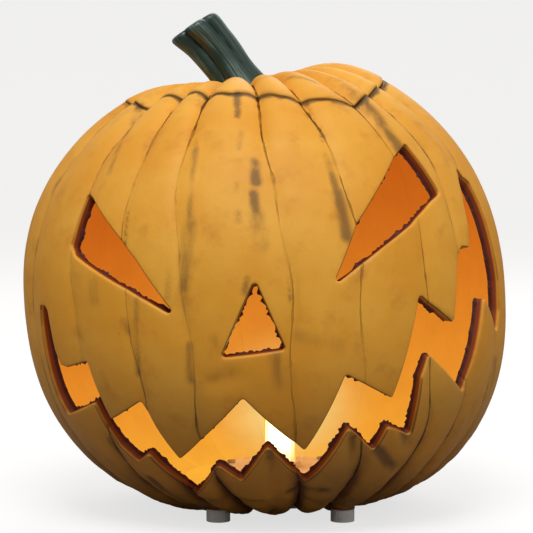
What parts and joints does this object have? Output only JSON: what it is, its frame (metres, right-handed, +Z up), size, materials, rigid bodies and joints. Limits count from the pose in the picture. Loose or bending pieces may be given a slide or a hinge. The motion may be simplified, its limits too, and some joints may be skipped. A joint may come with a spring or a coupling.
{
  "type": "pumpkin lantern",
  "caption": "Hollow painted pumpkin lantern with a carved grinning face, a lift-off lid with a leaning stem, and a battery lamp plugged into its base.",
  "frame": {"origin": "middle of the footprint on the resting plane, under the foot pads", "axes": "+Z up, the carved face looks along -Y, +X is to the right of a person looking at the face"},
  "size_m": [0.2476, 0.2384, 0.2554],
  "materials": {
    "pumpkin_paint": "matte",
    "stem_paint": "gloss",
    "foot_rubber": "satin",
    "seal_rubber": "matte",
    "housing_plastic": "satin",
    "knob_plastic": "satin",
    "bulb_frost": "satin",
    "led_resin": "gloss",
    "board": "satin",
    "screw_steel": "satin",
    "contact_steel": "polished",
    "cell_wrap": "satin",
    "lead_red": "satin",
    "lead_black": "satin"
  },
  "bodies": {
    "body": {"pumpkin_shell": "pumpkin_paint", "foot_pad_1": "foot_rubber", "foot_pad_2": "foot_rubber", "foot_pad_3": "foot_rubber", "foot_pad_4": "foot_rubber", "hole_seal": "seal_rubber", "lamp_tub": "housing_plastic", "lamp_cover": "housing_plastic", "cover_screw_1": "screw_steel", "cover_screw_2": "screw_steel", "cover_screw_3": "screw_steel", "cover_screw_4": "screw_steel", "bulb_diffuser": "bulb_frost", "led": "led_resin", "circuit_board": "board", "board_screw_1": "screw_steel", "board_screw_2": "screw_steel", "switch_body": "contact_steel", "battery_1": "cell_wrap", "battery_2": "cell_wrap", "battery_3": "cell_wrap", "contact_spring_1": "contact_steel", "contact_spring_2": "contact_steel", "contact_spring_3": "contact_steel", "contact_plate_1": "contact_steel", "contact_plate_2": "contact_steel", "contact_plate_3": "contact_steel", "led_lead_red": "lead_red", "led_lead_black": "lead_black", "battery_lead_red": "lead_red", "battery_lead_black": "lead_black"},
    "lid": {"lid": "pumpkin_paint", "stem": "stem_paint"},
    "battery_door": {"battery_door": "housing_plastic"},
    "switch_knob": {"switch_knob": "knob_plastic"}
  },
  "joints": [
    {"name": "lid_lift", "type": "slide", "parent": "body", "child": "lid", "axis": [-0.0958, 0, 0.9954], "range_m": [0, 0.11]},
    {"name": "battery_door_slide", "type": "slide", "parent": "body", "child": "battery_door", "axis": [0, 1, 0], "range_m": [0, 0.009]},
    {"name": "switch_slide", "type": "slide", "parent": "body", "child": "switch_knob", "axis": [0, 1, 0], "range_m": [-0.0032, 0]}
  ]
}
